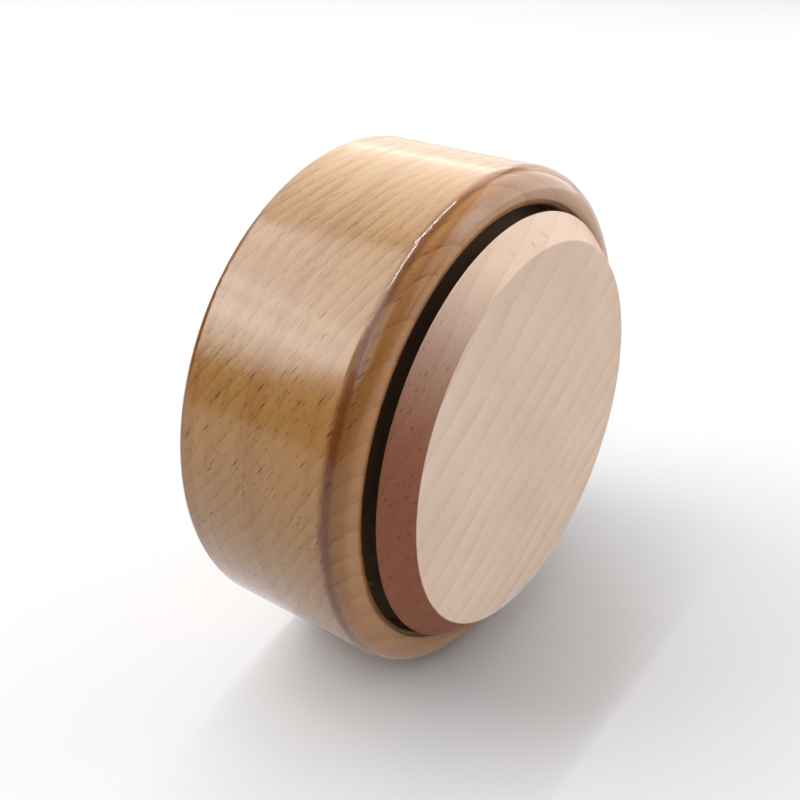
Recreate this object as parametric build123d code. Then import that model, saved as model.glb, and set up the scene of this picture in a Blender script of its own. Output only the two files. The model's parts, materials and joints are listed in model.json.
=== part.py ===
from build123d import *
import os
from math import cos, degrees, hypot, pi, radians, sin

# A round beech music box, wound by twisting the wooden disc that closes its open end. The case is a
# turned cup. A board on a ledge inside it carries a pinned-cylinder movement, and the winding arbor
# comes up through the board to a metal hub under the disc.
#
# Two frames are used. The case frame has Z along the turning axis, with the closed back on Z = 0 and
# the disc at the top. The movement frame has its origin where the arbor meets the bedplate's mounting
# face, X across, Y along the cylinder and Z into the case. The finished box lies on its round side.
#
# The movement is the stock piece here, so the case is sized from the inside out: the pocket goes
# round the movement, the ledge round the pocket and the rim round the ledge.

# --- case, turned beech ---------------------------------------------------------------------------
case_floor = 5.0
rim_width = 7.5            # the wall outside the recess
ledge_width = 4.0          # the step in the case wall that the board rests on
board_depth = 6.5          # rim down to the face of the movement board
board_thickness = 3.0
back_edge_fillet = 2.0
rim_inner_fillet = 2.3
rim_flat = 0.2             # what the rim's two fillets leave between them
pocket_corner_fillet = 1.5
resting_roll = 15.4        # degrees the box rolls on its side until its heavy side is lowest

# --- winding disc, raw beech ----------------------------------------------------------------------
disc_thickness = 5.5
disc_taper = 5.0           # rear radius less front radius
disc_gap = 1.5             # rim up to the disc's rear face
disc_edge_fillet = 0.3

# --- clearances -----------------------------------------------------------------------------------
running_clearance = 0.05   # a shaft in its bearing, on radius
seat_clearance = 0.02      # a piece fixed in or on another, on radius
thread_clearance = 0.04    # a screw in its hole, on radius
board_clearance = 0.2      # the board in the recess, on radius
end_play = 0.1             # between turning pieces and what they turn against
pocket_clearance = 1.0     # the movement inside the pocket, on radius
pocket_end_clearance = 1.4 # the movement above the pocket's floor

# --- winding arbor and hub ------------------------------------------------------------------------
arbor_radius = 2.2
arbor_core_radius = 3.0    # inside the mainspring
arbor_end_radius = 1.8     # great wheel and ratchet wheel
arbor_flat_depth = 0.5     # flats that drive the hub and the ratchet wheel
arbor_tip = 0.5            # beyond the retaining ring
arbor_board_gap = 1.8      # the arbor in the hole of the board, on radius
hub_flange_radius = 15.0
hub_flange_thickness = 1.5
hub_boss_radius = 5.5
hub_arbor_cover = 0.6      # the arbor's top stops this far below the disc
hub_screw_edge = 4.0       # from the flange's edge in to a screw
hub_screw_count = 4
felt_outer_radius = 6.0
felt_thickness = 0.9
grub_screw_radius = 1.3
grub_screw_sink = 0.2      # the grub screw's slotted end inside the boss

# --- bedplate -------------------------------------------------------------------------------------
bedplate_thickness = 1.8
plate_margin = 1.0         # the plate around what stands on it
plate_edge = 0.8           # the same at its round corners
boss_radius = 3.0
boss_height = 2.0
boss_gap = 0.9             # between a boss and the mainspring's housing
bracket_gap = 1.8          # between a boss and the cylinder's bracket
left_screw_angle = 216
right_screw_offset = 8.0   # from the arbor, against Y
bush_radius = 3.4
bush_flange_radius = 4.6
bush_flange_thickness = 0.5

# --- mainspring and its housing -------------------------------------------------------------------
housing_radius = 11.5
housing_wall = 0.8
housing_height = 8.8
housing_lug_radius = 2.4
housing_lug_inset = 0.7    # how far a lug's circle reaches into the housing's
housing_lug_angles = (15, 165, 270)
spring_thickness = 0.35
spring_turns = 5
spring_side_gap = 0.4

# --- gear teeth -----------------------------------------------------------------------------------
tooth_addendum = 0.75      # shares of the module, for every pair of wheels
tooth_dedendum = 1.0
tooth_share = 0.36         # tooth thickness on the pitch line, as a share of the pitch
tooth_tip_share = 0.45     # of that thickness, at the tip and at the root
tooth_root_share = 1.55
tooth_sink = 0.2           # a tooth made apart, down into what carries it

# --- great wheel (crown teeth), ratchet and click -------------------------------------------------
great_teeth = 36
great_mean_radius = 8.6
great_face_width = 1.4
great_plate_thickness = 1.0
great_wheel_gap = 0.4      # above the mainspring's housing
ratchet_teeth = 12
ratchet_radius = 4.2
ratchet_tooth_depth = 0.7
ratchet_thickness = 1.0
click_pin_radius = 0.5
click_pin_proud = 0.2
click_eye_radius = 1.0
click_eye_gap = 0.3        # to the great wheel's teeth
click_nose = 0.5           # the click's nose beyond the ratchet's teeth
click_pivot_angle = 10
click_spring_width = 0.3
click_spring_eye_radius = 0.9
click_spring_eye_gap = 0.6
click_spring_angles = (85, 170)
ring_thickness = 0.5
ring_radius = 3.0
ring_groove_radius = 1.2
ring_mouth = 1.92

# --- pinned cylinder ------------------------------------------------------------------------------
notes = 18
note_pitch = 0.95
pins_per_note = 4
pin_sides = 6
pin_radius = 0.2
pin_height = 0.5
cylinder_radius = 5.6
cylinder_wall = 0.7
cylinder_near_margin = 1.0 # before the first note
cylinder_far_margin = 2.25 # after the last note
cylinder_shaft_radius = 0.8
cylinder_pinion_teeth = 12
cylinder_pinion_overlap = 0.3  # the pinion past each side of the crown teeth
cylinder_gear_teeth = 40
cylinder_gear_module = 0.4
cylinder_gear_width = 1.0
bearing_wall = 1.2
bearing_gap = 0.6          # between the mainspring's housing and the first bearing
bearing_half_width = 3.0
cap_thickness = 1.0
bracket_foot_thickness = 1.2
bracket_foot_length = 5.0
bracket_half_width = 5.8
bracket_screw_offset = 4.0
bracket_screw_setback = 3.0

# --- comb -----------------------------------------------------------------------------------------
comb_tooth_gap = 0.22
comb_tooth_thickness = 0.6
comb_base_thickness = 1.8
comb_base_depth = 4.1      # where it lies on its pedestal
comb_tip_clearance = 0.1   # pin tips to tooth tips
comb_longest_tooth = 11.5
comb_shortest_tooth = 7.0
comb_root_setback = 0.2    # from the longest tooth's root to the pedestal
comb_tooth_root = 0.5      # a tooth's length inside the base
comb_weight_notes = 7      # bass teeth with a weight under the tip
comb_weight_depth = 1.6
comb_weight_length = 2.2
comb_screw_inset = 3.5
comb_screw_grip = 4.0      # length in the pedestal

# --- governor -------------------------------------------------------------------------------------
governor_pinion_teeth = 8
governor_pinion_width = 1.2
governor_wheel_teeth = 20
governor_wheel_module = 0.35
governor_wheel_width = 1.2
governor_wheel_gap = 0.8   # to the cylinder's gear
governor_shaft_radius = 0.6
governor_direction = 200   # degrees, from the cylinder's axis, seen along it
worm_pitch_radius = 1.4
worm_turns = 6
worm_shaft_radius = 0.5
worm_thread_sink = 0.15    # the thread's root inside the worm's core
brake_span = 7.4
brake_height = 4.0
brake_thickness = 0.5
brake_gap = 0.75           # above the worm and under the frame's arm
brake_wall_gap = 0.6
frame_thickness = 1.0
frame_arm_half_width = 2.4 # beside the worm's shaft
frame_wall_margin = 2.2    # beyond the governor shaft's centre
frame_screw_inset = 2.2
frame_screw_gap = 0.3      # between a screw's head and the wall

# --- screws ---------------------------------------------------------------------------------------
wood_screw_radius = 1.0
wood_screw_head_radius = 1.8
wood_screw_length = 8.0
board_screw_edge = 0.3     # from a screw's head out to the board's edge
board_screw_count = 4
machine_screw_radius = 1.4
machine_screw_head_radius = 2.7
machine_screw_tip = 0.5    # beyond its boss
small_screw_radius = 0.9
small_screw_head_radius = 1.7
small_screw_head_height = 1.0
hub_screw_grip = 3.0       # length in the disc's wood
screw_slot_width = 0.5
screw_slot_depth = 0.5

# --- the gear train, worked out from the above ----------------------------------------------------
housing_top = bedplate_thickness + housing_height
housing_lug_distance = housing_radius + housing_lug_radius - housing_lug_inset
great_base = housing_top + great_wheel_gap
great_tooth_base = great_base + great_plate_thickness
great_tooth_inside = great_mean_radius - great_face_width / 2
crown_module = 2 * great_mean_radius / great_teeth
crown_pitch_plane = great_tooth_base + tooth_dedendum * crown_module
ratchet_base = great_tooth_base + end_play
ring_base = ratchet_base + ratchet_thickness + end_play
arbor_end = ring_base + ring_thickness + arbor_tip
click_pivot_radius = great_tooth_inside - click_eye_gap - click_eye_radius
click_spring_radius = great_tooth_inside - click_spring_eye_gap - click_spring_eye_radius
click_nose_angle = 360 / ratchet_teeth * 2

cylinder_pinion_radius = crown_module * cylinder_pinion_teeth / 2
cylinder_axis = crown_pitch_plane + cylinder_pinion_radius
pinion_start = great_tooth_inside - cylinder_pinion_overlap
pinion_length = great_face_width + 2 * cylinder_pinion_overlap
inner_bearing_start = housing_radius + bearing_gap
cylinder_start = inner_bearing_start + bearing_wall + 2 * end_play
first_note = cylinder_start + cylinder_near_margin
cylinder_length = cylinder_near_margin + (notes - 1) * note_pitch + cylinder_far_margin
cylinder_end = cylinder_start + cylinder_length
gear_start = cylinder_end + 2 * end_play
outer_bearing_start = gear_start + cylinder_gear_width + 5 * end_play
shaft_end = outer_bearing_start + bearing_wall

cylinder_gear_radius = cylinder_gear_module * cylinder_gear_teeth / 2
governor_pinion_radius = cylinder_gear_module * governor_pinion_teeth / 2
governor_distance = cylinder_gear_radius + governor_pinion_radius
governor_x = governor_distance * cos(radians(governor_direction))
governor_z = cylinder_axis + governor_distance * sin(radians(governor_direction))
governor_wheel_radius = governor_wheel_module * governor_wheel_teeth / 2
governor_wheel_start = gear_start - governor_wheel_width - governor_wheel_gap
worm_lead = pi * governor_wheel_module
worm_x = governor_x - governor_wheel_radius - worm_pitch_radius
worm_y = governor_wheel_start + governor_wheel_width / 2
worm_core_length = (worm_turns + 1) * worm_lead
frame_inner_wall = worm_y - brake_span / 2 - brake_wall_gap - frame_thickness
frame_outer_end = outer_bearing_start + frame_thickness
frame_left = worm_x - frame_arm_half_width
frame_right = governor_x + frame_wall_margin
brake_base = governor_z + worm_core_length / 2 + brake_gap
frame_top = brake_base + brake_height + brake_gap + frame_thickness

comb_underside = cylinder_axis - comb_tooth_thickness / 2
comb_tip = cylinder_radius + pin_height + comb_tip_clearance
comb_near = first_note - note_pitch / 2
comb_far = comb_near + notes * note_pitch
comb_pedestal_front = comb_tip + comb_longest_tooth + comb_root_setback
comb_back = comb_pedestal_front + comb_base_depth

# --- the bedplate, and how much room the movement takes, worked out -------------------------------
left_screw_distance = housing_radius + boss_gap + boss_radius
left_screw = (left_screw_distance * cos(radians(left_screw_angle)),
              left_screw_distance * sin(radians(left_screw_angle)))
right_screw = (comb_back - boss_radius, -right_screw_offset)
far_screw = (bracket_half_width + bracket_gap + boss_radius, outer_bearing_start)
movement_screw_places = (left_screw, right_screw, far_screw)
bedplate_left = frame_left - plate_margin
bedplate_right = comb_back + 2 * plate_margin
bedplate_near = -(housing_lug_distance + housing_lug_radius + plate_margin)
bedplate_far = far_screw[1] + boss_radius + plate_margin
machine_screw_length = board_thickness + bedplate_thickness + boss_height + machine_screw_tip

widest_corner = max(hypot(*far_screw) + boss_radius, hypot(frame_left, frame_outer_end))
movement_reach = round(widest_corner + plate_edge, 1)
cylinder_gear_top = cylinder_axis + cylinder_gear_radius + tooth_addendum * cylinder_gear_module
movement_height = round(max(cylinder_gear_top, frame_top), 1)

# --- the case, worked out from the movement -------------------------------------------------------
pocket_radius = movement_reach + pocket_clearance
recess_radius = pocket_radius + ledge_width
case_radius = recess_radius + rim_width
rim_outer_fillet = rim_width - rim_inner_fillet - rim_flat
board_underside = case_floor + pocket_end_clearance + movement_height
board_top = board_underside + board_thickness
case_height = board_top + board_depth
disc_rear_radius = recess_radius
disc_front_radius = disc_rear_radius - disc_taper
disc_rear = case_height + disc_gap
disc_front = disc_rear + disc_thickness
hub_underside = board_top + felt_thickness + end_play
hub_screw_circle = hub_flange_radius - hub_screw_edge
board_screw_circle = recess_radius - board_clearance - board_screw_edge - wood_screw_head_radius
grub_screw_level = (hub_underside + disc_rear - hub_flange_thickness) / 2


def cylinder(radius, height, base=0.0):
    """A round bar along Z that stands on base."""
    return Pos(0, 0, base) * Cylinder(radius, height, align=(Align.CENTER, Align.CENTER, Align.MIN))


def along_y(shape, start):
    """Turns a piece made along +Z to run along +Y from start, on the cylinder's own axis."""
    return Pos(0, start, 0) * Rot(-90, 0, 0) * shape


def block(low, high):
    """A box between two corners."""
    size = [b - a for a, b in zip(low, high)]
    middle = [(a + b) / 2 for a, b in zip(low, high)]
    return Pos(*middle) * Box(*size)


def turned(points, corners):
    """A solid turned about Z from its half section, with the named corners rounded."""
    section = make_face(Polyline(*points, close=True))
    for corner, radius in corners:
        section = fillet(section.vertices().sort_by_distance(corner)[0], radius)
    return revolve(Plane.XZ * section, Axis.Z)


def flatted_bar(radius, height, base, flat_depth):
    """A round bar with one flat on its +X side."""
    flat = Pos(2 * radius - flat_depth, 0, base + height / 2) * Box(2 * radius, 4 * radius, height)
    return cylinder(radius, height, base) - flat


def countersunk_screw(radius, head_radius, length):
    """A screw that points down from Z = 0, with its countersunk head flush there."""
    head_height = head_radius - radius
    head = Pos(0, 0, -head_height) * Cone(radius, head_radius, head_height,
                                          align=(Align.CENTER, Align.CENTER, Align.MIN))
    slot = Box(2 * head_radius, screw_slot_width, 2 * screw_slot_depth)
    return cylinder(radius, length - head_height, -length) + head - slot


def countersink(radius, head_radius, length):
    """The hole for a countersunk screw, with its clearance."""
    wide = head_radius + thread_clearance
    narrow = radius + thread_clearance
    cone = Pos(0, 0, -(wide - narrow)) * Cone(narrow, wide, wide - narrow,
                                              align=(Align.CENTER, Align.CENTER, Align.MIN))
    return cylinder(narrow, length, -length) + cone


def pan_screw(radius, head_radius, head_height, length):
    """A screw that points down from Z = 0, with its slotted head above."""
    slot = Pos(0, 0, head_height) * Box(2 * head_radius, screw_slot_width, 2 * screw_slot_depth)
    return cylinder(radius, length, -length) + cylinder(head_radius, head_height) - slot


def group(shapes):
    """Identical pieces that share one node."""
    return Compound(children=[solid for shape in shapes for solid in shape.solids()])


def gear_outline(teeth, module, phase=0.0):
    """The outline of a spur wheel with straight-sided teeth. At phase 0 a tooth points along +X."""
    pitch_radius = module * teeth / 2
    tip = pitch_radius + tooth_addendum * module
    root = pitch_radius - tooth_dedendum * module
    half = pi * tooth_share / teeth
    tip_half = half * tooth_tip_share
    root_half = half * tooth_root_share
    points = []
    for tooth in range(teeth):
        middle = radians(phase) + 2 * pi * tooth / teeth
        for radius, offset in ((root, -root_half), (tip, -tip_half), (tip, tip_half), (root, root_half)):
            points.append((radius * cos(middle + offset), radius * sin(middle + offset)))
    return points


def spur_wheel(teeth, module, width, bore, phase=0.0):
    """A spur wheel along +Z from Z = 0."""
    outline = make_face(Polyline(*gear_outline(teeth, module, phase), close=True))
    return extrude(outline, width) - cylinder(bore, width)


def twisted_wheel(teeth, module, width, bore, phase, twist):
    """A worm wheel along +Z, with teeth that turn by twist degrees over its width."""
    lower = make_face(Polyline(*gear_outline(teeth, module, phase - twist / 2), close=True))
    upper = make_face(Polyline(*gear_outline(teeth, module, phase + twist / 2), close=True))
    return loft([lower, Pos(0, 0, width) * upper], ruled=True) - cylinder(bore, width)


def polar(radius, angle):
    """A point in the XY plane, its angle in degrees."""
    return radius * cos(radians(angle)), radius * sin(radians(angle))


def ring_of_places(radius, count):
    """Evenly spaced points around the axis, the first half a step past +X."""
    return [polar(radius, 360 * (i + 0.5) / count) for i in range(count)]


# --- case frame -----------------------------------------------------------------------------------
def into_case(shape):
    """Puts a piece of the movement into the case, hanging under the board."""
    return Pos(0, 0, board_underside) * Rot(180, 0, 0) * shape


def board_screw_places():
    return ring_of_places(board_screw_circle, board_screw_count)


def hub_screw_places():
    return ring_of_places(hub_screw_circle, hub_screw_count)


def case_shell():
    shell = turned(
        [(0, 0), (case_radius, 0), (case_radius, case_height), (recess_radius, case_height),
         (recess_radius, board_underside), (pocket_radius, board_underside),
         (pocket_radius, case_floor), (0, case_floor)],
        [((case_radius, 0), back_edge_fillet), ((case_radius, case_height), rim_outer_fillet),
         ((recess_radius, case_height), rim_inner_fillet),
         ((pocket_radius, case_floor), pocket_corner_fillet)])
    for x, y in board_screw_places():
        depth = wood_screw_length + thread_clearance
        shell -= Pos(x, y, board_top - depth) * cylinder(wood_screw_radius + thread_clearance, depth)
    return shell


def movement_board():
    board = cylinder(recess_radius - board_clearance, board_thickness, board_underside)
    board -= cylinder(arbor_radius + arbor_board_gap, board_thickness, board_underside)
    for x, y in board_screw_places():
        board -= Pos(x, y, board_top) * countersink(wood_screw_radius, wood_screw_head_radius,
                                                    wood_screw_length)
    for x, y in movement_screw_places:
        hole = countersink(machine_screw_radius, machine_screw_head_radius, machine_screw_length)
        board -= into_case(Pos(x, y, -board_thickness) * Rot(180, 0, 0) * hole)
    return board


def board_screws():
    screw = countersunk_screw(wood_screw_radius, wood_screw_head_radius, wood_screw_length)
    return group([Pos(x, y, board_top) * screw for x, y in board_screw_places()])


def winding_disc():
    disc = turned(
        [(0, disc_rear), (disc_rear_radius, disc_rear), (disc_front_radius, disc_front),
         (0, disc_front)],
        [((disc_rear_radius, disc_rear), disc_edge_fillet),
         ((disc_front_radius, disc_front), disc_edge_fillet)])
    for x, y in hub_screw_places():
        depth = hub_screw_grip + thread_clearance
        disc -= Pos(x, y, disc_rear) * cylinder(small_screw_radius + thread_clearance, depth)
    return disc


def disc_hub():
    flange_base = disc_rear - hub_flange_thickness
    hub = cylinder(hub_flange_radius, hub_flange_thickness, flange_base)
    hub += cylinder(hub_boss_radius, disc_rear - hub_underside, hub_underside)
    hub -= flatted_bar(arbor_radius + seat_clearance, disc_rear - hub_underside, hub_underside,
                       arbor_flat_depth)
    for x, y in hub_screw_places():
        hole = cylinder(small_screw_radius + thread_clearance, hub_flange_thickness, flange_base)
        hub -= Pos(x, y, 0) * hole
    thread = cylinder(grub_screw_radius + thread_clearance, 2 * hub_boss_radius)
    return hub - Pos(0, 0, grub_screw_level) * Rot(0, 90, 0) * thread


def hub_screws():
    length = hub_flange_thickness + hub_screw_grip
    screw = pan_screw(small_screw_radius, small_screw_head_radius, small_screw_head_height, length)
    level = disc_rear - hub_flange_thickness
    return group([Pos(x, y, level) * Rot(180, 0, 0) * screw for x, y in hub_screw_places()])


def hub_grub_screw():
    start = arbor_radius - arbor_flat_depth + 2 * seat_clearance
    length = hub_boss_radius - start - grub_screw_sink
    screw = cylinder(grub_screw_radius, length)
    slot = Pos(0, 0, length) * Box(4 * grub_screw_radius, screw_slot_width, 2 * screw_slot_depth)
    return Pos(start, 0, grub_screw_level) * Rot(0, 90, 0) * (screw - slot)


def felt_washer():
    hole = arbor_radius + running_clearance
    return cylinder(felt_outer_radius, felt_thickness, board_top) - cylinder(hole, felt_thickness,
                                                                              board_top)


# --- movement frame: bedplate and what is fixed to it ---------------------------------------------
def bearing_post(start, length):
    """A round-headed post with the bearing of the cylinder shaft, standing on the bedplate."""
    post = block((-bearing_half_width, start, bedplate_thickness),
                 (bearing_half_width, start + length, cylinder_axis))
    head = cylinder(bearing_half_width, length)
    post += Pos(0, 0, cylinder_axis) * along_y(head, start)
    hole = cylinder(cylinder_shaft_radius + running_clearance, length)
    return post - Pos(0, 0, cylinder_axis) * along_y(hole, start)


def small_screw(grip):
    return pan_screw(small_screw_radius, small_screw_head_radius, small_screw_head_height, grip)


def small_screw_hole(depth):
    return cylinder(small_screw_radius + thread_clearance, depth, -depth)


def comb_screw_places():
    x = comb_pedestal_front + (comb_back - comb_pedestal_front) / 2
    return [(x, comb_near + comb_screw_inset), (x, comb_far - comb_screw_inset)]


def bracket_screw_places():
    y = outer_bearing_start - bracket_screw_setback
    return [(-bracket_screw_offset, y), (bracket_screw_offset, y)]


def frame_screw_places():
    y = frame_inner_wall + frame_thickness + frame_screw_gap + small_screw_head_radius
    return [(frame_left + frame_screw_inset, y), (frame_right - frame_screw_inset, y)]


def housing_lug_places():
    return [polar(housing_lug_distance, angle) for angle in housing_lug_angles]


def bedplate():
    plate = block((bedplate_left, bedplate_near, 0), (bedplate_right, bedplate_far, bedplate_thickness))
    plate = plate & cylinder(movement_reach, bedplate_thickness)
    for x, y in movement_screw_places:
        plate += Pos(x, y, 0) * cylinder(boss_radius, bedplate_thickness + boss_height)
    plate += bearing_post(inner_bearing_start, bearing_wall)
    plate += block((comb_pedestal_front, comb_near, bedplate_thickness),
                   (comb_back, comb_far, comb_underside))
    plate -= cylinder(bush_radius + seat_clearance, bedplate_thickness)
    for x, y in movement_screw_places:
        hole = cylinder(machine_screw_radius + thread_clearance, bedplate_thickness + boss_height)
        plate -= Pos(x, y, 0) * hole
    for x, y in bracket_screw_places() + frame_screw_places() + housing_lug_places():
        plate -= Pos(x, y, bedplate_thickness) * small_screw_hole(bedplate_thickness)
    for x, y in comb_screw_places():
        plate -= Pos(x, y, comb_underside) * small_screw_hole(comb_screw_grip + thread_clearance)
    return plate


def movement_screws():
    screw = countersunk_screw(machine_screw_radius, machine_screw_head_radius, machine_screw_length)
    return group([Pos(x, y, -board_thickness) * Rot(180, 0, 0) * screw
                  for x, y in movement_screw_places])


def arbor_bush():
    bush = cylinder(bush_radius, bedplate_thickness)
    bush += cylinder(bush_flange_radius, bush_flange_thickness, bedplate_thickness)
    return bush - cylinder(arbor_radius + running_clearance, bedplate_thickness + bush_flange_thickness)


def spring_housing():
    housing = cylinder(housing_radius, housing_height, bedplate_thickness)
    for x, y in housing_lug_places():
        housing += Pos(x, y, 0) * cylinder(housing_lug_radius, housing_wall, bedplate_thickness)
    housing -= cylinder(housing_radius - housing_wall, housing_height - housing_wall,
                        bedplate_thickness)
    for x, y in housing_lug_places():
        hole = cylinder(small_screw_radius + thread_clearance, housing_wall, bedplate_thickness)
        housing -= Pos(x, y, 0) * hole
    return housing - cylinder(arbor_end_radius + running_clearance, housing_top)


def housing_screws():
    level = bedplate_thickness + housing_wall
    screw = small_screw(housing_wall + bedplate_thickness)
    return group([Pos(x, y, level) * screw for x, y in housing_lug_places()])


def mainspring():
    """A spiral strip made of half circles, from the arbor's core out to the housing's wall."""
    inner = arbor_core_radius + seat_clearance
    outer = housing_radius - housing_wall - seat_clearance - spring_thickness
    step = (outer - inner) / spring_turns
    near, far = [], []
    for half_turn in range(2 * spring_turns):
        centre = (step / 2 * (half_turn % 2), 0)
        radius = inner + step / 2 * half_turn
        start = 180 * (half_turn % 2)
        near.append(CenterArc(centre, radius, start, 180))
        far.append(CenterArc(centre, radius + spring_thickness, start, 180))
    ends = [Line((inner, 0), (inner + spring_thickness, 0)),
            Line((outer, 0), (outer + spring_thickness, 0))]
    strip = make_face(near + far + ends)
    base = bedplate_thickness + bush_flange_thickness + spring_side_gap
    top = housing_top - housing_wall - spring_side_gap
    return Pos(0, 0, base) * extrude(strip, top - base)


def comb():
    base = make_face(Polyline(
        (comb_tip + comb_longest_tooth, comb_near), (comb_back, comb_near), (comb_back, comb_far),
        (comb_tip + comb_shortest_tooth, comb_far), close=True))
    body = Pos(0, 0, comb_underside) * extrude(base, comb_base_thickness)
    width = note_pitch - comb_tooth_gap
    pieces = []
    for note in range(notes):
        y = first_note + note * note_pitch
        root = comb_tip + comb_longest_tooth + comb_tooth_root
        root -= (comb_longest_tooth - comb_shortest_tooth) * note / (notes - 1)
        pieces.append(block((comb_tip, y - width / 2, comb_underside),
                            (root, y + width / 2, comb_underside + comb_tooth_thickness)))
        if note < comb_weight_notes:
            pieces.append(block((comb_tip, y - width / 2, comb_underside - comb_weight_depth),
                                (comb_tip + comb_weight_length, y + width / 2, comb_underside)))
    body += pieces
    for x, y in comb_screw_places():
        hole = small_screw_hole(comb_base_thickness)
        body -= Pos(x, y, comb_underside + comb_base_thickness) * hole
    return body


def comb_screws():
    level = comb_underside + comb_base_thickness
    screw = small_screw(comb_base_thickness + comb_screw_grip)
    return group([Pos(x, y, level) * screw for x, y in comb_screw_places()])


def cylinder_bracket():
    top = bedplate_thickness + bracket_foot_thickness
    foot = block((-bracket_half_width, outer_bearing_start - bracket_foot_length, bedplate_thickness),
                 (bracket_half_width, outer_bearing_start + bearing_wall, top))
    bracket = foot + bearing_post(outer_bearing_start, bearing_wall)
    for x, y in bracket_screw_places():
        bracket -= Pos(x, y, top) * small_screw_hole(bracket_foot_thickness)
    return bracket


def bracket_screws():
    level = bedplate_thickness + bracket_foot_thickness
    screw = small_screw(bracket_foot_thickness + bedplate_thickness)
    return group([Pos(x, y, level) * screw for x, y in bracket_screw_places()])


def governor_frame():
    """One bent sheet: a foot, two low walls for the governor shaft and an arm over the worm."""
    foot_top = bedplate_thickness + frame_thickness
    shaft_top = governor_z + frame_wall_margin
    arm_right = worm_x + frame_arm_half_width
    frame = block((frame_left, frame_inner_wall, bedplate_thickness),
                  (frame_right, frame_outer_end, foot_top))
    frame += block((frame_left, frame_inner_wall, bedplate_thickness),
                   (frame_right, frame_inner_wall + frame_thickness, shaft_top))
    frame += block((frame_left, frame_inner_wall, bedplate_thickness),
                   (arm_right, frame_inner_wall + frame_thickness, frame_top))
    frame += block((frame_left, frame_inner_wall, frame_top - frame_thickness),
                   (arm_right, worm_y + frame_wall_margin, frame_top))
    frame += block((governor_x - frame_wall_margin, outer_bearing_start, bedplate_thickness),
                   (frame_right, frame_outer_end, shaft_top))
    shaft_hole = cylinder(governor_shaft_radius + running_clearance,
                          frame_outer_end - frame_inner_wall)
    frame -= Pos(governor_x, 0, governor_z) * along_y(shaft_hole, frame_inner_wall)
    frame -= Pos(worm_x, worm_y, 0) * cylinder(worm_shaft_radius + running_clearance, frame_top)
    for x, y in frame_screw_places():
        frame -= Pos(x, y, foot_top) * small_screw_hole(frame_thickness)
    return frame


def governor_screws():
    level = bedplate_thickness + frame_thickness
    screw = small_screw(frame_thickness + bedplate_thickness)
    return group([Pos(x, y, level) * screw for x, y in frame_screw_places()])


# --- movement frame: what turns with the disc -----------------------------------------------------
def arbor():
    top = board_underside - (disc_rear - hub_arbor_cover)
    core_base = bedplate_thickness + bush_flange_thickness + end_play
    core_top = housing_top - housing_wall - end_play
    flat_end = board_underside - hub_underside
    bar = flatted_bar(arbor_radius, flat_end - top, top, arbor_flat_depth)
    bar += cylinder(arbor_radius, core_base - flat_end, flat_end)
    bar += cylinder(arbor_core_radius, core_top - core_base, core_base)
    bar += cylinder(arbor_end_radius, ratchet_base - core_top, core_top)
    bar += flatted_bar(arbor_end_radius, arbor_end - ratchet_base, ratchet_base, arbor_flat_depth)
    groove = cylinder(arbor_radius, ring_thickness + 2 * seat_clearance, ring_base - seat_clearance)
    groove -= cylinder(ring_groove_radius, arbor_end)
    return bar - groove


def ratchet_wheel():
    """Saw teeth: each has a radial face and a slope that the click rides up when the disc is wound."""
    outline = []
    for tooth in range(ratchet_teeth):
        angle = 360 * tooth / ratchet_teeth
        outline += [polar(ratchet_radius - ratchet_tooth_depth, angle), polar(ratchet_radius, angle)]
    wheel = extrude(make_face(Polyline(*outline, close=True)), ratchet_thickness)
    wheel -= flatted_bar(arbor_end_radius + seat_clearance, ratchet_thickness, 0, arbor_flat_depth)
    return Pos(0, 0, ratchet_base) * wheel


def arbor_ring():
    """An open retaining ring in the arbor's groove."""
    ring = cylinder(ring_radius, ring_thickness, ring_base)
    ring -= cylinder(ring_groove_radius + seat_clearance, ring_thickness, ring_base)
    mouth = Box(2 * ring_radius, ring_mouth, 4 * ring_thickness)
    return ring - Pos(-ring_radius, 0, ring_base) * mouth


# --- movement frame: great wheel and its click ----------------------------------------------------
def click_pin_places():
    """The click's pivot and the foot of its spring."""
    return (polar(click_pivot_radius, click_pivot_angle),
            polar(click_spring_radius, click_spring_angles[1]))


def great_wheel():
    """A crown wheel: its teeth stand up from the edge of a flat plate."""
    outer = great_mean_radius + great_face_width / 2
    plate = cylinder(outer, great_plate_thickness, great_base)
    pitch = pi * crown_module
    root = tooth_share * tooth_root_share * pitch / 2
    tip = tooth_share * tooth_tip_share * pitch / 2
    height = (tooth_dedendum + tooth_addendum) * crown_module
    profile = make_face(Polyline((-root, -tooth_sink), (root, -tooth_sink), (root, 0), (tip, height),
                                 (-tip, height), (-root, 0), close=True))
    tooth = extrude(Plane.XZ * profile, great_face_width / 2, both=True)
    teeth = []
    for number in range(great_teeth):
        angle = 360 * (number + 0.5) / great_teeth
        teeth.append(Rot(0, 0, angle) * Pos(0, great_mean_radius, great_tooth_base) * tooth)
    wheel = plate + teeth
    wheel &= cylinder(outer, frame_top)
    wheel -= cylinder(arbor_end_radius + running_clearance, frame_top)
    for place in click_pin_places():
        hole = cylinder(click_pin_radius + seat_clearance, great_plate_thickness, great_base)
        wheel -= Pos(*place) * hole
    return wheel


def click():
    """A pawl whose tip stands against the radial face of one ratchet tooth."""
    pivot, _ = click_pin_places()
    tooth_root = ratchet_radius - ratchet_tooth_depth
    outline = [polar(tooth_root + end_play, click_nose_angle - 1.5),
               polar(ratchet_radius + click_nose, click_nose_angle - 2),
               polar(click_pivot_radius + 0.8 * click_eye_radius, click_pivot_angle + 6),
               polar(click_pivot_radius - 0.6 * click_eye_radius, click_pivot_angle - 7),
               polar(ratchet_radius + 0.6 * click_nose, (click_nose_angle + click_pivot_angle) / 2)]
    body = make_face(Polyline(*outline, close=True)) + Pos(*pivot) * Circle(click_eye_radius)
    body -= Pos(*pivot) * Circle(click_pin_radius + seat_clearance)
    return Pos(0, 0, great_tooth_base) * extrude(body, ratchet_thickness)


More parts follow.
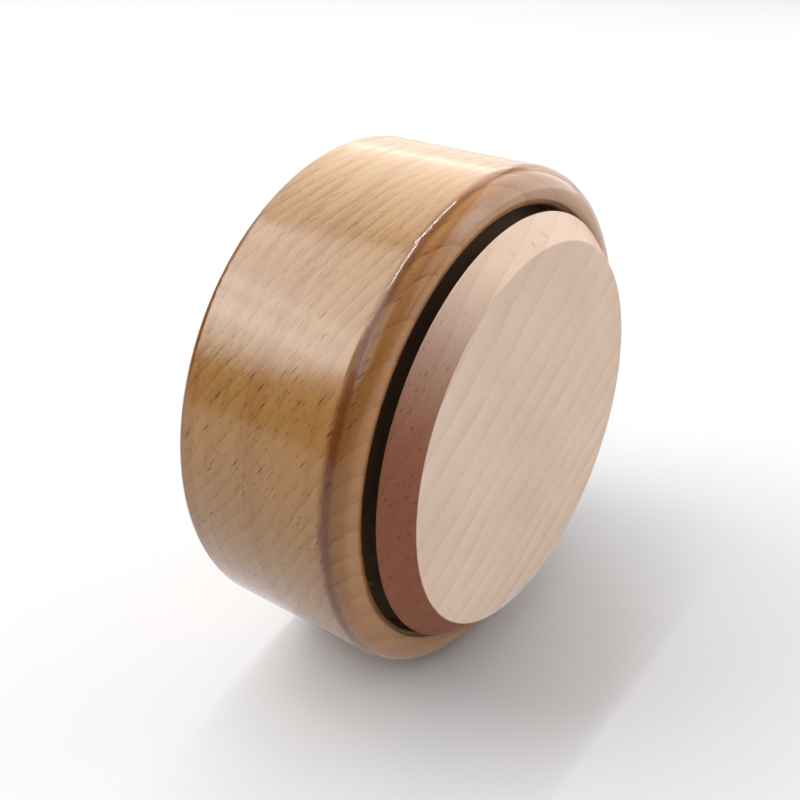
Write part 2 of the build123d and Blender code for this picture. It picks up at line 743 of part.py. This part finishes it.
def click_pins():
    length = great_plate_thickness + ratchet_thickness + click_pin_proud
    pin = cylinder(click_pin_radius, length, great_base)
    return group([Pos(*place) * pin for place in click_pin_places()])


def click_spring():
    """A thin bent strip that presses the click against the ratchet wheel."""
    _, foot = click_pin_places()
    bend = polar(click_spring_radius, click_spring_angles[0])
    middle = polar(click_spring_radius, sum(click_spring_angles) / 2)
    touch = polar(ratchet_radius + click_nose + click_spring_width + end_play, click_nose_angle + 1)
    path = ThreePointArc(foot, middle, bend) + Line(bend, touch)
    strip = trace(path, click_spring_width) + Pos(*foot) * Circle(click_spring_eye_radius)
    strip -= Pos(*foot) * Circle(click_pin_radius + seat_clearance)
    return Pos(0, 0, great_tooth_base + end_play) * extrude(strip, ratchet_thickness - 2 * end_play)


# --- movement frame: cylinder ---------------------------------------------------------------------
def on_cylinder_axis(shape, start):
    return Pos(0, 0, cylinder_axis) * along_y(shape, start)


def music_cylinder():
    """A brass tube with four rows of pins that climb over the notes like a scale."""
    bore = cylinder_radius - cylinder_wall
    tube = cylinder(cylinder_radius, cylinder_length) - cylinder(bore, cylinder_length)
    pin = Pos(0, 0, cylinder_radius - cylinder_wall / 2) * extrude(
        RegularPolygon(pin_radius, pin_sides), cylinder_wall / 2 + pin_height)
    pins = []
    for note in range(notes):
        height = first_note - cylinder_start + note * note_pitch
        for row in range(pins_per_note):
            angle = 360 / pins_per_note * (row + (note * 5 % notes + 0.5) / notes)
            pins.append(Pos(0, 0, height) * Rot(0, 0, angle) * Rot(0, 90, 0) * pin)
    return on_cylinder_axis(tube + pins, cylinder_start)


def cylinder_caps():
    cap = cylinder(cylinder_radius - cylinder_wall - seat_clearance, cap_thickness)
    cap -= cylinder(cylinder_shaft_radius + seat_clearance, cap_thickness)
    return group([on_cylinder_axis(cap, cylinder_start),
                  on_cylinder_axis(cap, cylinder_end - cap_thickness)])


def cylinder_shaft():
    start = pinion_start - end_play
    return on_cylinder_axis(cylinder(cylinder_shaft_radius, shaft_end + end_play - start), start)


def cylinder_pinion():
    wheel = spur_wheel(cylinder_pinion_teeth, crown_module, pinion_length,
                       cylinder_shaft_radius + seat_clearance, phase=90)
    return on_cylinder_axis(wheel, pinion_start)


def cylinder_gear():
    """One tooth gap faces the governor pinion."""
    phase = -governor_direction + 180 / cylinder_gear_teeth
    wheel = spur_wheel(cylinder_gear_teeth, cylinder_gear_module, cylinder_gear_width,
                       cylinder_shaft_radius + seat_clearance, phase)
    return on_cylinder_axis(wheel, gear_start)


# --- movement frame: governor ---------------------------------------------------------------------
def on_governor_shaft(shape, start):
    return Pos(governor_x, 0, governor_z) * along_y(shape, start)


def governor_pinion():
    """One tooth points at the cylinder gear."""
    wheel = spur_wheel(governor_pinion_teeth, cylinder_gear_module, governor_pinion_width,
                       governor_shaft_radius + seat_clearance, phase=180 - governor_direction)
    return on_governor_shaft(wheel, gear_start - end_play)


def governor_wheel():
    """A worm wheel, its teeth inclined like the worm's thread. One tooth gap faces the worm."""
    twist = degrees(governor_wheel_width * worm_lead / (2 * pi * worm_pitch_radius)
                    / governor_wheel_radius)
    wheel = twisted_wheel(governor_wheel_teeth, governor_wheel_module, governor_wheel_width,
                          governor_shaft_radius + seat_clearance,
                          180 + 180 / governor_wheel_teeth, twist)
    return on_governor_shaft(wheel, governor_wheel_start)


def governor_shaft():
    start = frame_inner_wall + end_play
    end = frame_outer_end - end_play
    return on_governor_shaft(cylinder(governor_shaft_radius, end - start), start)


def governor_worm():
    """A right-hand thread that passes the wheel's height on the side that faces the wheel."""
    thread_base = governor_z - worm_turns / 2 * worm_lead
    core = worm_pitch_radius - tooth_dedendum * governor_wheel_module
    crest = worm_pitch_radius + tooth_addendum * governor_wheel_module
    inside = core - worm_thread_sink
    root = tooth_share * tooth_root_share * worm_lead / 2
    tip = tooth_share * tooth_tip_share * worm_lead / 2
    profile = Plane.XZ * make_face(Polyline((inside, -root), (core, -root), (crest, -tip),
                                            (crest, tip), (core, root), (inside, root), close=True))
    thread = sweep(profile, Helix(worm_lead, worm_turns * worm_lead, worm_pitch_radius),
                   is_frenet=True)
    bar = cylinder(core, worm_core_length, governor_z - worm_core_length / 2)
    bar += cylinder(worm_shaft_radius, frame_top - bedplate_thickness - 2 * end_play,
                    bedplate_thickness + end_play)
    return Pos(worm_x, worm_y, 0) * (bar + Pos(0, 0, thread_base) * thread)


def air_brake():
    brake = Pos(0, 0, brake_base + brake_height / 2) * Box(brake_span, brake_thickness, brake_height)
    brake += cylinder(2 * worm_shaft_radius, brake_height, brake_base)
    brake -= cylinder(worm_shaft_radius + seat_clearance, brake_height, brake_base)
    return Pos(worm_x, worm_y, 0) * brake


# --- nodes ----------------------------------------------------------------------------------------
case_pieces = [case_shell, movement_board, board_screws, winding_disc, disc_hub, hub_screws,
               hub_grub_screw, felt_washer]
movement_pieces = [bedplate, movement_screws, arbor_bush, spring_housing, housing_screws, mainspring,
                   comb, comb_screws, cylinder_bracket, bracket_screws, governor_frame,
                   governor_screws, arbor, ratchet_wheel, arbor_ring, great_wheel, click, click_pins,
                   click_spring, music_cylinder, cylinder_caps, cylinder_shaft, cylinder_pinion,
                   cylinder_gear, governor_pinion, governor_wheel, governor_shaft, governor_worm,
                   air_brake]


def lie_down(shape):
    """Lays the box on its round side, the disc towards -Y, with the middle of its length at Y = 0."""
    return Pos(0, disc_front / 2, case_radius) * Rot(90, 0, 0) * Rot(0, 0, -resting_roll) * shape


os.makedirs("parts", exist_ok=True)
for piece in case_pieces:
    export_step(lie_down(piece()), f"parts/{piece.__name__}.step")
for piece in movement_pieces:
    export_step(lie_down(into_case(piece())), f"parts/{piece.__name__}.step")
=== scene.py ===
import bpy
import json
from math import cos, pi, radians, sin
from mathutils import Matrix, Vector


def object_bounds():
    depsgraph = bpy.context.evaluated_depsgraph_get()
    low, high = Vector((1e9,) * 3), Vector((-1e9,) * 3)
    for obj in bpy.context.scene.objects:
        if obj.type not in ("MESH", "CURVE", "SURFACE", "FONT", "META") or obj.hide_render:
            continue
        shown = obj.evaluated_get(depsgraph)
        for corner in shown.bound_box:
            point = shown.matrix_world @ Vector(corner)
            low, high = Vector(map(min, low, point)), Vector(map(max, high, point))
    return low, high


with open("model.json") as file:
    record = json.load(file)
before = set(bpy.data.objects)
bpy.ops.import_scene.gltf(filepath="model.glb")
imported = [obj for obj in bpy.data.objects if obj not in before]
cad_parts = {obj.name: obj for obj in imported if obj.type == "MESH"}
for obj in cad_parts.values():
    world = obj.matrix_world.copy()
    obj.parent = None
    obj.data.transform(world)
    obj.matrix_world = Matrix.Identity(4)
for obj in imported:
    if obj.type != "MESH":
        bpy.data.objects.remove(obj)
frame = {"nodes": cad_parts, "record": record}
cad_low, cad_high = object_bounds()

MIDDLE = (cad_low + cad_high) / 2
MM = 0.001

# The camera stands where the outlines in the photograph put it, a quarter of a metre away.
CAMERA_PLACE = Vector((-0.1618, -0.1089, 0.1635))
CAMERA_BACK = Vector((-0.7024, -0.5141, 0.4924))
LENS_MM = 47.46
CLIP_START = 0.01
FLOOR_SIZE = 8.0

# Each piece of wood is one solid pattern in the object's own space: all its faces cut the same
# growth rings, rays and pores, so the grain meets at its edges as in turned wood. The first vector
# runs along the fibres, the second from ring to ring towards the pith.
CASE_GRAIN = (Vector((0.94, -0.20, -0.24)), Vector((0.30, 0.81, 0.50)))
DISC_GRAIN = (Vector((0.937, 0.262, 0.235)), Vector((-0.35, 0.64, 0.68)))
BOARD_GRAIN = (Vector((1.0, 0.0, 0.2)), Vector((-0.1, 0.9, 0.5)))

PITH_AWAY = 120.0      # mm from the middle of a blank to the heart of the tree
WANDER = 9.0           # mm that the rings stray, slowly and in small waves
RIPPLE = 0.9

# Specks in the wood: the size of the cell that holds one, and the speck's half size, in mm, along
# the radius, along the ring and along the fibre. A share says how dark one is beside a large pore.
PORE_CELL, PORE_HALF = (2.6, 3.6, 3.6), (0.19, 1.35, 1.35)
SMALL_PORE_CELL, SMALL_PORE_HALF = (1.1, 1.6, 1.6), (0.15, 0.8, 0.8)
RAY_CELL, RAY_HALF = (8.0, 1.3, 2.2), (3.4, 0.07, 0.6)
SMALL_PORE_SHARE = 0.6
RAY_SHARE = 0.25
SMALL_PORE_SHIFT = (7.3, 2.1, 5.9)     # mm, so that the three patterns don't fall together
RAY_SHIFT = (3.7, 9.2, 1.4)

# How much late wood, vessels and clouds change the colour, at most.
LATE_WOOD_SHARE = 0.55
VESSEL_SHARE = 0.25
TONE_SHARE = 0.5

# Depths of the bumps, in metres.
LACQUERED_RELIEF = 0.00002
RAW_RELIEF = 0.00006
BOARD_RELIEF = 0.00005
METAL_RELIEF = 0.000004
FELT_RELIEF = 0.0001
NYLON_RELIEF = 0.000006

# The window is a column of panes that overlap: elevation in degrees, radiance.
WINDOW_AZIMUTH = 122
WINDOW_AWAY = 1.5
PANE_WIDTH, PANE_HEIGHT = 1.0, 0.5
PANES = ((25, 2.2), (31, 2.7), (38, 2.4), (47, 2.2), (57, 1.9), (67, 1.4))
PANE_DIFFUSE = 0.4

# The rest of the room: name, azimuth, elevation, distance, width, height, radiance, and the share
# of its light that falls on matt surfaces.
PANELS = (
    ("window_beside", 55, 38, 1.5, 2.0, 1.1, 1.7, 0.12),
    ("backdrop", 30, 8, 2.0, 3.0, 0.9, 1.2, 0.2),
    ("wall_behind", 180, 50, 1.5, 0.9, 0.8, 1.7, 1.0),
    ("lamp_right", -28, 22, 0.9, 0.9, 0.9, 2.15, 1.0),
    ("lamp_front", -60, 20, 1.5, 0.9, 0.8, 1.2, 1.0),
    ("lamp_left", 215, 42, 1.5, 0.9, 0.8, 1.5, 1.0),
)

# A thin lamp tube draws the bright line on the rim. Its target lies beside the middle.
TUBE_SHIFT = Vector((0.08, 0.0, 0.0))
TUBE_AZIMUTH, TUBE_ELEVATION, TUBE_AWAY = 90, 75, 0.9
TUBE_LENGTH, TUBE_WIDTH = 0.76, 0.012
TUBE_RADIANCE = 90.0

# The even light from above, and what little is left for the world.
SKY_AZIMUTH, SKY_ELEVATION = 60, 80
SKY_STRENGTH = 0.75
SKY_SPREAD = 2.5       # radians: a sun as wide as most of the sky
WORLD_COLOUR = (0.97, 0.98, 1.0, 1.0)
WORLD_STRENGTH = 0.02


# --- nodes ----------------------------------------------------------------------------------------
class Recipe:
    """One material's node tree, with short calls for the nodes that it is made of."""

    def __init__(self, name):
        self.material = bpy.data.materials.new(name)
        self.material.use_nodes = True
        self.nodes = self.material.node_tree.nodes
        self.links = self.material.node_tree.links
        self.shader = self.nodes["Principled BSDF"]
        coordinates = self.node("ShaderNodeTexCoord")
        self.place, self.normal = coordinates.outputs["Object"], coordinates.outputs["Normal"]

    def node(self, kind, **settings):
        made = self.nodes.new(kind)
        for key, value in settings.items():
            setattr(made, key, value)
        return made

    def feed(self, socket, value):
        if isinstance(value, bpy.types.NodeSocket):
            self.links.new(value, socket)
        else:
            socket.default_value = value

    def math(self, operation, *values):
        made = self.node("ShaderNodeMath", operation=operation)
        for socket, value in zip(made.inputs, values):
            self.feed(socket, value)
        return made.outputs[0]

    def vector(self, operation, *values, out="Vector"):
        made = self.node("ShaderNodeVectorMath", operation=operation)
        for socket, value in zip(made.inputs, values):
            self.feed(socket, value)
        return made.outputs[out]

    def dot(self, first, second):
        return self.vector("DOT_PRODUCT", first, tuple(second), out="Value")

    def facing(self, axis):
        """How far the surface faces along an axis, either way: 0 to 1."""
        return self.math("ABSOLUTE", self.dot(self.normal, axis))

    def noise(self, place, scale, detail=2.0, roughness=0.5):
        made = self.node("ShaderNodeTexNoise")
        self.feed(made.inputs["Vector"], place)
        self.feed(made.inputs["Scale"], scale)
        self.feed(made.inputs["Detail"], detail)
        self.feed(made.inputs["Roughness"], roughness)
        return made.outputs["Fac"]

    def stretched(self, place, factors, scale, detail=2.0, roughness=0.5):
        """Noise drawn out along the axes whose factor is small."""
        return self.noise(self.vector("MULTIPLY", place, factors), scale, detail, roughness)

    def ramp(self, value, low, high, to_low=0.0, to_high=1.0):
        made = self.node("ShaderNodeMapRange", interpolation_type="SMOOTHSTEP")
        for socket, given in zip(made.inputs, (value, low, high, to_low, to_high)):
            self.feed(socket, given)
        return made.outputs[0]

    def mix(self, share, first, second, blend="MIX"):
        made = self.node("ShaderNodeMix", data_type="RGBA", blend_type=blend)
        for socket, given in zip((made.inputs[0], made.inputs[6], made.inputs[7]),
                                 (share, first, second)):
            self.feed(socket, given)
        return made.outputs[2]

    def darken(self, share, body, tint):
        """The body, tinted by a multiplied colour where share is high."""
        return self.mix(share, body, self.mix(1.0, body, tint, "MULTIPLY"))

    def bump(self, height, depth):
        made = self.node("ShaderNodeBump")
        self.feed(made.inputs["Height"], height)
        self.feed(made.inputs["Distance"], depth)
        self.feed(self.shader.inputs["Normal"], made.outputs[0])

    def set(self, **values):
        """Feeds the shader's inputs; an underscore stands for a space in an input's name."""
        for name, value in values.items():
            self.feed(self.shader.inputs[name.replace("_", " ")], value)


def colour(red, green, blue):
    """A colour as it is read off a screen, 0 to 255, in the linear values that a socket takes."""
    linear = [c / 255 / 12.92 if c <= 10.3 else ((c / 255 + 0.055) / 1.055) ** 2.4
              for c in (red, green, blue)]
    return (*linear, 1.0)


# --- wood -----------------------------------------------------------------------------------------
def specks(r, place, cell, half):
    """Dark specks, one in each cell of about that size, of that half size, both in mm."""
    cells = r.vector("DIVIDE", place, tuple(cell))
    nearest = r.node("ShaderNodeTexVoronoi")
    r.feed(nearest.inputs["Vector"], cells)
    r.feed(nearest.inputs["Scale"], 1.0)
    away = r.vector("SUBTRACT", cells, nearest.outputs["Position"])
    away = r.vector("MULTIPLY", away, tuple(c / h for c, h in zip(cell, half)))
    speck = r.ramp(r.vector("LENGTH", away, out="Value"), 1.0, 0.45)
    chance = r.node("ShaderNodeSeparateColor")
    r.feed(chance.inputs[0], nearest.outputs["Color"])
    return r.math("MULTIPLY", speck, r.ramp(chance.outputs[0], 0.1, 0.7))


def wood(name, grain, early, late, dark, ring_width, lined, fleck, pore, tone, end_and_shade):
    """Diffuse-porous wood. Returns the recipe with its colour, and a height for the bump.

    early, late, dark and tone colour the spring wood, the late wood, the specks and the clouds; the
    last colour multiplies the wood cut across its fibres, partly for the darker cut ends and partly
    as painted shade and painted orange bounce light. ring_width is in mm, lined and fleck say how
    dark the ring lines and the specks are, and pore is the specks' size against the usual one.
    """
    r = Recipe(name)
    fibre = grain[0].normalized()
    inward = (grain[1] - grain[1].dot(fibre) * fibre).normalized()
    place = r.vector("SUBTRACT", r.place, tuple(MIDDLE))
    inner, across, along = [r.dot(place, axis / MM)
                            for axis in (inward, fibre.cross(inward), fibre)]

    # distance from the pith, with the slow wander of real rings
    inner = r.math("SUBTRACT", PITH_AWAY, inner)
    radius = r.math("SQRT", r.math("ADD", r.math("MULTIPLY", inner, inner),
                                   r.math("MULTIPLY", across, across)))
    joined = r.node("ShaderNodeCombineXYZ")
    for socket, value in zip(joined.inputs, (radius, across, along)):
        r.feed(socket, value)
    tree = joined.outputs[0]
    wander = r.stretched(tree, (1.0, 1.0, 0.4), 0.03)
    ripple = r.stretched(tree, (1.0, 1.0, 0.3), 0.25)
    rings = r.math("ADD", radius, r.math("MULTIPLY", wander, WANDER))
    rings = r.math("ADD", rings, r.math("MULTIPLY", ripple, RIPPLE))

    # one ring: slowly darker outwards, with a thin broken line where the next one starts, which
    # fades where the ring lies flat in the surface and where the fibres are cut across
    ring = r.math("FRACT", r.math("DIVIDE", rings, ring_width))
    late_wood = r.math("POWER", ring, 2.0)
    line = r.math("MULTIPLY", r.ramp(ring, 0.84, 0.95), r.ramp(ring, 1.0, 0.96))
    broken = r.stretched(tree, (0.5, 1.0, 1.0), 0.55)
    line = r.math("MULTIPLY", line, r.ramp(broken, 0.44, 0.62, 0.08, 1.0))
    line = r.math("MULTIPLY", line, r.ramp(r.facing(inward), 0.85, 0.45, 0.2, 1.0))
    cut_across = r.facing(fibre)
    line = r.math("MULTIPLY", line, r.ramp(cut_across, 0.92, 0.6, 0.4, 1.0))
    strength = r.ramp(r.noise(tree, 0.07), 0.35, 0.65, 0.45, 1.0)

    # pores and short cracks lie flat in the rings, and rays stand across them
    pores = specks(r, tree, pore * Vector(PORE_CELL), pore * Vector(PORE_HALF))
    small_pores = specks(r, r.vector("ADD", tree, SMALL_PORE_SHIFT),
                         pore * Vector(SMALL_PORE_CELL), pore * Vector(SMALL_PORE_HALF))
    rays = specks(r, r.vector("ADD", tree, RAY_SHIFT), RAY_CELL, RAY_HALF)
    dash = r.math("MAXIMUM", pores, r.math("MULTIPLY", small_pores, SMALL_PORE_SHARE))
    dash = r.math("MULTIPLY", dash, r.ramp(cut_across, 0.25, 0.75, 0.12, 1.0))
    dash = r.math("MAXIMUM", dash, r.math("MULTIPLY", rays, RAY_SHARE))

    # vessels: fine short streaks along the fibre
    streak = r.ramp(r.stretched(tree, (1.0, 1.0, 0.05), 4.5, 3.0, 0.65), 0.47, 0.70)

    shade = r.math("MULTIPLY", r.math("ADD", r.math("MULTIPLY", late_wood, LATE_WOOD_SHARE),
                                      r.math("MULTIPLY", line, lined)), strength)
    body = r.mix(shade, early, late)
    body = r.mix(r.math("MULTIPLY", streak, VESSEL_SHARE), body, late)
    body = r.mix(r.ramp(r.noise(tree, 0.05, 3.0), 0.35, 0.7, 0.0, TONE_SHARE), body, tone)
    body = r.mix(r.math("MULTIPLY", dash, fleck), body, dark)

    # cut across the fibres the wood is darker and redder: partly real end grain, partly painted
    # shade and painted orange bounce light, which also reaches faces cut only a little across
    body = r.darken(r.ramp(cut_across, 0.15, 0.8), body, end_and_shade)
    height = r.math("ADD", r.math("MULTIPLY", dash, -0.5), r.math("MULTIPLY", streak, -0.5))
    return r, body, height


def lacquered_beech():
    r, body, height = wood("lacquered_beech", CASE_GRAIN,
                           early=colour(190, 152, 100), late=colour(145, 105, 62),
                           dark=colour(62, 30, 14), ring_width=2.7, lined=0.7, fleck=0.85,
                           pore=1.0, tone=colour(178, 136, 84), end_and_shade=colour(202, 186, 156))
    # painted shade and painted dark reflection: the rounded edges between the side and the flat
    # faces are tinted dark brown
    along_axis = r.facing((0.0, 1.0, 0.0))
    painted_edge_shade = r.math("MULTIPLY", r.ramp(along_axis, 0.04, 0.20), r.ramp(along_axis, 0.55, 0.34))
    body = r.darken(painted_edge_shade, body, colour(190, 150, 108))
    # faint rings round the axis, left by the lathe
    turned = r.stretched(r.place, (9.0, 320.0, 9.0), 1.0)
    body = r.darken(r.ramp(turned, 0.42, 0.66, 0.0, 0.5), body, colour(226, 204, 182))
    # painted shade: the flat faces of the rim and the back are tinted a little darker and warmer
    body = r.darken(r.ramp(along_axis, 0.35, 0.6), body, colour(240, 214, 192))
    r.bump(height, LACQUERED_RELIEF)
    r.set(Base_Color=body, Roughness=0.5, Specular_IOR_Level=0.1,
          Coat_Weight=1.0, Coat_Roughness=0.15, Coat_IOR=1.5)
    return r.material


def raw_beech():
    r, body, height = wood("raw_beech", DISC_GRAIN,
                           early=colour(234, 211, 192), late=colour(212, 180, 157),
                           dark=colour(66, 34, 24), ring_width=4.2, lined=0.12, fleck=0.7,
                           pore=0.6, tone=colour(222, 192, 168), end_and_shade=colour(164, 118, 99))
    r.bump(height, RAW_RELIEF)
    r.set(Base_Color=body, Roughness=0.85, Specular_IOR_Level=0.2)
    return r.material


def birch_plywood():
    # painted shade: the board is coloured much darker than bare birch, so that the deep recess
    # behind the disc shows dark
    r, body, height = wood("birch_plywood", BOARD_GRAIN,
                           early=colour(120, 92, 66), late=colour(96, 70, 48),
                           dark=colour(60, 40, 26), ring_width=4.0, lined=0.6, fleck=0.3,
                           pore=1.0, tone=colour(108, 82, 58), end_and_shade=colour(190, 160, 130))
    r.bump(height, BOARD_RELIEF)
    r.set(Base_Color=body, Roughness=0.8)
    return r.material


# --- metal, felt and nylon ------------------------------------------------------------------------
def metal(name, base, roughness, streaked=(1.0, 1.0, 1.0), scratch=0.1):
    """A metal with fine scratches, drawn out along the axes where streaked is small."""
    r = Recipe(name)
    lines = r.stretched(r.place, streaked, 2600.0, 3.0, 0.6)
    patches = r.noise(r.place, 140.0, 3.0)
    tarnished = tuple(c * 0.7 for c in base[:3]) + (1.0,)
    dull = r.mix(r.ramp(patches, 0.4, 0.75, 0.0, 0.35), base, tarnished)
    scratched = r.math("ADD", r.math("MULTIPLY", lines, scratch), roughness - scratch / 2)
    r.bump(lines, METAL_RELIEF)
    r.set(Base_Color=dull, Metallic=1.0, Roughness=scratched)
    return r.material


def felt():
    r = Recipe("felt")
    fibres = r.noise(r.place, 3500.0, 4.0, 0.7)
    r.bump(fibres, FELT_RELIEF)
    r.set(Base_Color=r.mix(fibres, colour(96, 26, 30), colour(146, 50, 50)), Roughness=0.95)
    return r.material


def nylon():
    r = Recipe("nylon")
    cloud = r.noise(r.place, 300.0)
    r.bump(r.noise(r.place, 1800.0), NYLON_RELIEF)
    r.set(Base_Color=r.mix(cloud, colour(232, 229, 217), colour(222, 218, 204)), Roughness=0.42)
    return r.material


def dress():
    """Gives every CAD piece the material that its record's slot names."""
    made = {
        "lacquered_beech": lacquered_beech(),
        "raw_beech": raw_beech(),
        "birch_plywood": birch_plywood(),
        "felt": felt(),
        "nylon": nylon(),
        "plated_steel": metal("plated_steel", colour(206, 206, 200), 0.30),
        "dark_steel": metal("dark_steel", colour(78, 78, 82), 0.42),
        "steel": metal("steel", colour(190, 190, 194), 0.34, scratch=0.16),
        "spring_steel": metal("spring_steel", colour(92, 104, 128), 0.28, (1.0, 0.05, 1.0)),
        "comb_steel": metal("comb_steel", colour(200, 201, 206), 0.22, (0.05, 1.0, 1.0)),
        "brass": metal("brass", colour(222, 186, 104), 0.28, (1.0, 0.1, 1.0), 0.14),
        "die_cast_zinc": metal("die_cast_zinc", colour(160, 162, 166), 0.5, scratch=0.2),
    }
    for part in frame["record"]["subparts"]:
        piece = frame["nodes"][part["node"]]
        piece.data.materials.clear()
        piece.data.materials.append(made[part["material_slot"]])


# --- stage ----------------------------------------------------------------------------------------
def floor():
    bpy.ops.mesh.primitive_plane_add(size=FLOOR_SIZE, location=(0, 0, cad_low.z))
    plane = bpy.context.object
    plane.name = "floor"
    r = Recipe("floor")
    r.set(Base_Color=colour(198, 198, 199), Roughness=0.6)
    plane.data.materials.append(r.material)


def direction(azimuth, elevation):
    """The unit vector towards that azimuth, from +X round to +Y, and elevation, in degrees."""
    level = Vector((cos(radians(azimuth)), sin(radians(azimuth)), 0))
    return level * cos(radians(elevation)) + Vector((0, 0, sin(radians(elevation))))


def placed(name, data, place, back):
    """Puts a lamp or a camera at a place, looking away from the vector back."""
    thing = bpy.data.objects.new(name, data)
    bpy.context.scene.collection.objects.link(thing)
    thing.location = place
    thing.rotation_mode = "QUATERNION"
    thing.rotation_quaternion = back.to_track_quat("Z", "Y")
    return thing


def softbox(name, azimuth, elevation, away, width, height, radiance, target=MIDDLE):
    """An area light that faces a target, its brightness given as what a mirror shows of it."""
    data = bpy.data.lights.new(name, "AREA")
    data.shape, data.size, data.size_y = "RECTANGLE", width, height
    data.energy = radiance * pi * width * height
    back = direction(azimuth, elevation) * away
    placed(name, data, target + back, back)
    return data


def studio():
    """A tall window behind the object, a thin tube above it, panels all round and an even sky.

    The panels' brightness was fitted to the photograph's colours, each for its own reflection or
    shadow.
    """
    world = bpy.data.worlds.new("studio")
    bpy.context.scene.world = world
    world.use_nodes = True
    world.node_tree.nodes["Background"].inputs["Color"].default_value = WORLD_COLOUR
    world.node_tree.nodes["Background"].inputs["Strength"].default_value = WORLD_STRENGTH
    for elevation, radiance in PANES:
        pane = softbox("window", WINDOW_AZIMUTH, elevation, WINDOW_AWAY,
                       PANE_WIDTH, PANE_HEIGHT, radiance)
        pane.diffuse_factor = PANE_DIFFUSE
    for *shape, diffuse in PANELS:
        softbox(*shape).diffuse_factor = diffuse
    sky = bpy.data.lights.new("sky", "SUN")
    sky.energy, sky.angle = SKY_STRENGTH, SKY_SPREAD
    overhead = direction(SKY_AZIMUTH, SKY_ELEVATION)
    placed("sky", sky, overhead, overhead)
    softbox("tube", TUBE_AZIMUTH, TUBE_ELEVATION, TUBE_AWAY, TUBE_LENGTH, TUBE_WIDTH,
            TUBE_RADIANCE, MIDDLE + TUBE_SHIFT)
    bpy.context.scene.view_settings.view_transform = "Standard"


def camera():
    data = bpy.data.cameras.new("camera")
    data.lens = LENS_MM
    data.clip_start = CLIP_START
    bpy.context.scene.camera = placed("camera", data, CAMERA_PLACE, CAMERA_BACK)


camera()
dress()
floor()
studio()
